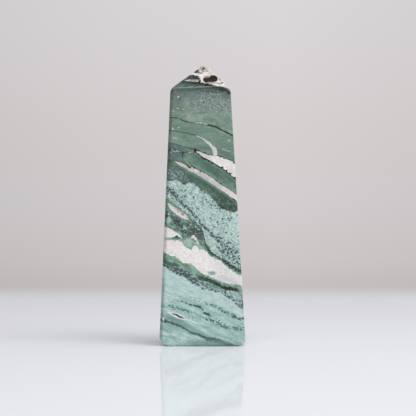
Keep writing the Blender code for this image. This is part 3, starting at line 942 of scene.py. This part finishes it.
def green_rim(stone):
    """Green rim under the white band, near black at its lower right and grey at its lower left."""
    tree = stone.tree
    rise = above(stone, WHITE_BOTTOM, stone.rough_height)
    rim = bed(stone, "#5c7e6d", "#729684", "#8cac9d", 0.9, 2.2, 24, 43)
    under = add(tree, RANGE, rise, 0.2, -0.2)
    lay(stone, rim, under)
    lower = above(stone, RIM_BOTTOM, stone.rough_height)
    deep_green = bed(stone, "#133725", "#224b36", "#3b6a50", 0.8, 2, 24, 45)
    lay(stone, deep_green, (lower, 1.75, 1.2), (stone.along, -3.0, -0.6), under)
    lay(stone, "#304b44", (lower, 2.0, 0.8, 0.0, 0.85), (stone.along, -7.5, -9.5), under)
    lay(stone, "#101d18", (lower, 1.6, 0.9), (stone.along, 2.5, 6.0), under, 0.85)
    lay_spots(stone, RIM_SPOT)
    lay(stone, "#3c5a4b", (stone.along, -12.0, -14.0), under, 0.5)


def foot_bed(stone):
    """Streaky pale aqua from the green rim down to the foot."""
    tree = stone.tree
    pale = bed(stone, "#8aaca6", "#a2c2bc", "#b3d0ca", 0.75, 5, 24, 47)
    rise = lay_below(stone, RIM_BOTTOM, pale)
    stone.under_rim = add(tree, RANGE, rise, 0.1, -0.2)
    lighter = bed(stone, "#a5c0bb", "#b2cdc8", "#bfd6d2", 0.75, 4, 24, 87)
    lay(stone, lighter, (above(stone, LIGHT_FOOT, stone.rough_height), -0.9, 0.9), stone.under_rim)


def foot_grains(stone):
    """Band of blue-grey grains under the green rim, thickest at the left."""
    tree = stone.tree
    floor = above(stone, GRAINS_BOTTOM, stone.rough_height)
    crowd = add(tree, MATH, add(tree, RANGE, floor, -0.5, 0.5), stone.under_rim)
    density = add(tree, MATH, crowd, add(tree, RANGE, stone.along, -6.0, 4.0, 1.0, 0.8))
    veiled = clumps(stone, 1, 1.8, 26, 2, 49)
    lay(stone, "#718d8c", grains(stone, density, veiled, 0.80, 0.36, 0.08), 0.85)
    lay(stone, "#3a5256", crowd, (stone.along, -2.5, -6.0), 0.85)
    spread = clumps(stone, 0.42, 1.8, 26, 1, 51)
    lay(stone, "#384b50", grains(stone, density, spread, 0.80, 0.45, 0.04), 0.94)
    lay(stone, "#a9c3c0", density, (spread, 0.40, 0.34), 0.8)
    lay_spots(stone, GRAIN_SPOTS)
    lay(stone, "#4f6e6b", marks(stone, RIGHT_PATCH, 4.0, 0.5, stone.rough_place), 0.75)


def foot_streaks(stone):
    """Dark torn streaks, green shades and pale wisps in the foot."""
    gaps = clumps(stone, 0.50, 1.8, 28, 1, 93)
    for streak, colour, torn, strength in TORN_STREAKS:
        lay_torn(stone, streak, colour, torn, gaps, strength)
    lay_spots(stone, FOOT_SPOTS)
    lay(stone, "#c9d6d3", marks(stone, FOOT_WISPS, 30.0, 0.5), 0.8)


def foot_cracks(stone):
    """Thin whitish lens round a brown crack, and the long green crack under it."""
    whitish = bed(stone, "#c3cecc", "#d2d8d6", "#dfe0df", 1, 3, 20, 69)
    lay_vein(stone, LENS_P, whitish, 0.15, 0.5)
    lay_vein(stone, CRACK_P, "#24161a", 0.08)
    depth = follow_vein(stone, CRACK_Q, 1.2)
    lay_round(stone, depth, 0.4, "#779b94", 0.4, 0.6)
    lay_round(stone, depth, 0.0, "#446058", 0.2)
    lay(stone, "#1b302b", (stone.along, -12.6, -13.6), (depth, -0.35, 0.0), 0.9)
    lay(stone, "#eef0ee", marks(stone, CRACK_Q_END, 2.0, 0.4))
    lay(stone, "#475251", (stone.along, -1.0, 3.0), (depth, -0.1, 0.2), 0.92)


def foot_edge(stone):
    """Painted shade on the left corner's flat and along the foot, and a last fine mottling."""
    # Painted shade on the left corner's flat, below the white band
    lay(stone, "#1f302c", stone.strip, (stone.height, 25.0, 22.5, 0.0, 0.24))
    lay_spots(stone, FOOT_CORNER_SPOT)
    # Painted shade over the lowest few mm of the front, along the foot
    lay_spots(stone, FOOT_EDGE_SHADE, (stone.rough_height, 3.2, 1.4))
    mottle(stone, 0.34, 3.5, 24, 0.14, 57)


def cap_white(stone):
    """White chalcedony over the shoulder, greyer at the tip."""
    tree = stone.tree
    stone.cap_share = add(tree, RANGE, stone.side, *ALONG, **LEVEL)
    stone.cap_height = numbers(stone, stone.cap_place)["Blue"]
    white = bed(stone, "#bfbab1", "#dfdbd5", "#f0edea", 1.3, 1.2, 10, 53)
    stone.over_base = above(stone, CAP_EDGE, stone.cap_height, stone.cap_share)
    lay(stone, white, (stone.over_base, -0.15, 0.15))
    grey = bed(stone, "#6f6a65", "#aea8a0", "#d2cec7", 0.8, 1, 0, 71)
    lay(stone, grey, (stone.tall, 99.6, 101.4))


def cap_patches(stone):
    """Red-brown and near-black patches on the cap, its small marks and the marks of the tip."""
    stone.brown = bed(stone, "#170b0b", "#221414", "#3d2d2c", 0.7, 1.2, 0, 73)
    black = bed(stone, "#140e0f", "#231c1e", "#848787", 0.42, 1.4, 0, 77)
    patches = [("#8a9691", 0.9, 0.4, CAP_VEILS), (stone.brown, 1.0, 0.12, CAP_BROWNS),
               (black, 1.0, 0.12, CAP_BLACKS), *CAP_MARKS]
    for colour, strength, soft, group in patches:
        lay(stone, colour, marks(stone, group, 7.0, soft, stone.cap_place, -7.0), strength)
    lay(stone, "#7b7a73", marks(stone, TIP_GREYS, 4.0, 0.3, stone.cap_place, -2.5), 0.9)
    lay(stone, "#241f20", marks(stone, TIP_DARKS, 5.0, 0.25, stone.cap_place, -2.5), 0.95)


def cap_base(stone):
    """Green between the cap's white and the ridge, dark and crumbly at its top."""
    tree = stone.tree
    base = stone.over_base
    green = bed(stone, "#445651", "#576963", "#71847e", 0.7, 2.5, 5, 75)
    over_ridge = above(stone, RIDGE, stone.cap_height, stone.cap_share)
    bare = add(tree, RANGE, base, 0.15, -0.15)
    band = add(tree, MATH, bare, add(tree, RANGE, over_ridge, -0.1, 0.15))
    lay(stone, green, band)
    lay(stone, "#2d3f38", (base, -1.8, -0.8), band, 0.72)
    crumbly = clumps(stone, 0.45, 1.8, 4, 1, 91)
    lay(stone, "#1e1311", (base, -1.0, -0.7), (base, 0.35, 0.1), (crumbly, 0.62, 0.51),
        (stone.side, -5.5, -2.5, 0.35, 1.0), (stone.side, 5.6, 4.6))


def cap_ridge(stone):
    """Ridge between the front and the cap: a faint painted highlight along it, and painted shade under it
    and at its right end.
    """
    tree = stone.tree
    ridge = above(stone, RIDGE, stone.tall, stone.cap_share)
    line = add(tree, MATH, ridge, **UNSIGNED)
    # Painted highlight: a faint light line along the ridge
    lay(stone, "#7b8c84", (line, 0.34, 0.1), 0.12)
    # Painted shade just under the ridge, from its middle to the right
    painted_shade_line = add(tree, MATH, add(tree, MATH, ridge, 0.45, **PLUS), **UNSIGNED)
    lay(stone, "#22372f", (painted_shade_line, 0.4, 0.15), (stone.side, -4.0, -1.0), 0.55)
    # Painted shade at the ridge's right end, under the shoulder
    lay(stone, "#131d1a", marks(stone, RIDGE_END_SHADE, 7.0, 0.3, stone.cap_place, -7.0), 0.9)


def cap_back(stone):
    """Brown patches on the back of the cap, which the front doesn't show."""
    behind = numbers(stone, stone.cap_place)["Green"]
    patches = clumps(stone, 2.4, 1.3, 0, 2, 89)
    lay(stone, stone.brown, (behind, -4.0, 0.0), (patches, 0.55, 0.58), (stone.over_base, 0.6, 1.2))


def stone_finish():
    """Polished banded jasper and chalcedony, ground on a belt and buffed: a smooth, soft gloss."""
    material = new_material("polished_banded_jasper_and_chalcedony")
    tree = material.node_tree
    stone = SimpleNamespace(tree=tree)
    find_places(stone)
    for lay_part in (pale_bed, pale_bed_grains, dark_green_bed, middle_green_beds, upper_green_bed,
                     upper_cracks, white_wedge, slanting_vein, lower_green, rosy_lens, white_band,
                     corner_strip, green_rim, foot_bed, foot_grains, foot_streaks, foot_cracks,
                     foot_edge, cap_white, cap_patches, cap_base, cap_ridge, cap_back):
        lay_part(stone)
    shader = add(tree, "ShaderNodeBsdfPrincipled", stone.colour).node
    shader.inputs["IOR"].default_value = 1.54
    buffed = add(tree, NOISE, stone.metric, 1.0 / GLOSS_SIZE, 2.0)
    tree.links.new(add(tree, RANGE, buffed, 0.35, 0.65, *GLOSS), shader.inputs["Roughness"])
    peel = add(tree, NOISE, stone.metric, 1.0 / PEEL_SIZE, 1.0)
    wave = add(tree, "ShaderNodeBump")
    wave.node.inputs["Distance"].default_value = PEEL_DEPTH
    wave.node.inputs["Strength"].default_value = 1.0
    tree.links.new(peel, wave.node.inputs["Height"])
    tree.links.new(wave, shader.inputs["Normal"])
    add_output(tree, shader.outputs[0])
    return material


def add_output(tree, surface, kind="ShaderNodeOutputMaterial"):
    sink = tree.nodes.new(kind)
    tree.links.new(surface, sink.inputs["Surface"])


def slice_faces(block, axis, step):
    """Cut the faces into strips of one width along an axis, so that they can bend a little."""
    places = [corner.co[axis] for corner in block.verts]
    way = Vector([float(axis == number) for number in range(3)])
    for number in range(1, round((max(places) - min(places)) / step)):
        everything = block.verts[:] + block.edges[:] + block.faces[:]
        bmesh.ops.bisect_plane(block, geom=everything, dist=1e-7,
                               plane_co=way * (min(places) + number * step), plane_no=way)


def worn_away(place):
    """How far a point of the surface lies below the flat facet, in mm."""
    lost = WAVE_DEPTH * (1.0 + noise.noise(place / WAVE_SIZE))
    for middle, reach, depth in CHIPS:
        off = (place - Vector(middle)).length / (reach * (1.0 + 0.5 * noise.noise(place / CHIP_BEND)))
        lost += depth * max(0.0, 1.0 - off * off)
    return lost


def worn_mesh(tower):
    """The ground stone in finer faces, with faint waves of hand grinding and the chips of use."""
    block = bmesh.new()
    block.from_mesh(tower.data)
    bmesh.ops.remove_doubles(block, verts=block.verts, dist=JOINED)
    bmesh.ops.dissolve_limit(block, angle_limit=radians(FLAT_ANGLE), verts=block.verts,
                             edges=block.edges)
    for axis in range(3):
        slice_faces(block, axis, SLICE)
    block.normal_update()
    for corner in block.verts:
        corner.co -= corner.normal * (worn_away(corner.co * MM) / MM)
    block.normal_update()
    normals = []
    for corner in block.verts:
        around = sum((face.normal * face.calc_area() for face in corner.link_faces), Vector())
        normals.append(around.normalized())
    for face in block.faces:
        face.smooth = True
        face.material_index = 0
    mesh = bpy.data.meshes.new("banded_stone_tower")
    block.to_mesh(mesh)
    block.free()
    mesh.normals_split_custom_set_from_vertices(normals)
    return mesh


def dress_tower():
    """The stone as one piece, in place of the plain tower."""
    mesh = worn_mesh(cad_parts["tower"])
    mesh.materials.append(stone_finish())
    piece = bpy.data.objects.new("banded_stone_tower", mesh)
    bpy.context.scene.collection.objects.link(piece)
    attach(piece, "root")
    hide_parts("tower")


def make_table():
    """Pale lacquered table top, with a soft mirror image and an edge that fades into the wall."""
    block = bmesh.new()
    bmesh.ops.create_grid(block, x_segments=1, y_segments=1, size=TABLE_HALF)
    mesh = bpy.data.meshes.new("table_top")
    block.to_mesh(mesh)
    block.free()
    table = bpy.data.objects.new("table_top", mesh)
    bpy.context.scene.collection.objects.link(table)
    material = new_material("satin_lacquer_on_table")
    tree = material.node_tree
    here = add(tree, "ShaderNodeTexCoord").node.outputs["Object"]
    size = add(tree, VECTOR, here, **UNSIGNED)
    apart = add(tree, "ShaderNodeSeparateXYZ", size).node.outputs
    far = add(tree, MATH, apart["X"], apart["Y"], **MOST)
    fade = add(tree, RANGE, far, BLUR_FROM, BLUR_TO)
    flat = add(tree, "ShaderNodeBsdfDiffuse", linear(TABLE_COLOUR))
    gloss = add(tree, "ShaderNodeBsdfGlossy", (1.0, 1.0, 1.0, 1.0), TABLE_ROUGHNESS)
    lacquer = add(tree, "ShaderNodeMixShader", TABLE_GLOSS, flat, gloss)
    gone = add(tree, "ShaderNodeBsdfTransparent")
    add_output(tree, add(tree, "ShaderNodeMixShader", fade, lacquer, gone))
    mesh.materials.append(material)


def add_ramp(tree, share, tones):
    """Colours along a scale from 0 to 1, each given with its place."""
    ramp = add(tree, "ShaderNodeValToRGB", share).node
    stops = ramp.color_ramp.elements
    for number, (place, tone) in enumerate(tones):
        stop = stops[number] if number < 2 else stops.new(place)
        stop.position = place
        stop.color = tone
    return ramp.outputs[0]


def make_wall_light():
    """Pale wall all round, brighter towards the ceiling, which also lights the stone softly."""
    world = bpy.data.worlds.new("pale_wall")
    bpy.context.scene.world = world
    world.use_nodes = True
    tree = world.node_tree
    tree.nodes.clear()
    way = add(tree, "ShaderNodeTexCoord").node.outputs["Generated"]
    apart = add(tree, "ShaderNodeSeparateXYZ", way).node.outputs
    height = add(tree, RANGE, apart["Z"], WALL_BOTTOM, WALL_TOP, **LEVEL)
    tone = add_ramp(tree, height, [(place, linear(code)) for place, code in WALL_TONES])
    across = add(tree, RANGE, apart["X"], -1.0, 1.0, **LEVEL)
    light = add_ramp(tree, across, [(place, (grey, grey, grey, 1.0)) for place, grey in WALL_LIGHT])
    lit = add(tree, MIX, 1.0, tone, light, blend_type="MULTIPLY")
    overhead = add(tree, RANGE, apart["Z"], *OVERHEAD)
    lit = add(tree, MIX, overhead, lit, linear(OVERHEAD_TONE))
    add_output(tree, add(tree, "ShaderNodeBackground", lit, 1.0), "ShaderNodeOutputWorld")


def make_lamp(name, place, aim, size, power):
    lamp = bpy.data.lights.new(name, "AREA")
    lamp.shape = "DISK"
    lamp.size = size
    lamp.energy = power
    holder = bpy.data.objects.new(name, lamp)
    holder.location = place
    holder.rotation_euler = (Vector(aim) - Vector(place)).to_track_quat("-Z", "Y").to_euler()
    bpy.context.scene.collection.objects.link(holder)


def make_camera():
    camera = bpy.data.cameras.new("camera")
    camera.lens = LENS
    camera.sensor_width = SENSOR
    holder = bpy.data.objects.new("camera", camera)
    holder.location = EYE
    holder.rotation_euler = (radians(90.0), 0.0, 0.0)
    bpy.context.scene.collection.objects.link(holder)
    bpy.context.scene.camera = holder


dress_tower()
make_table()
make_wall_light()
for lamp in LAMPS:
    make_lamp(*lamp)
make_camera()
bpy.context.scene.view_settings.view_transform = "Standard"
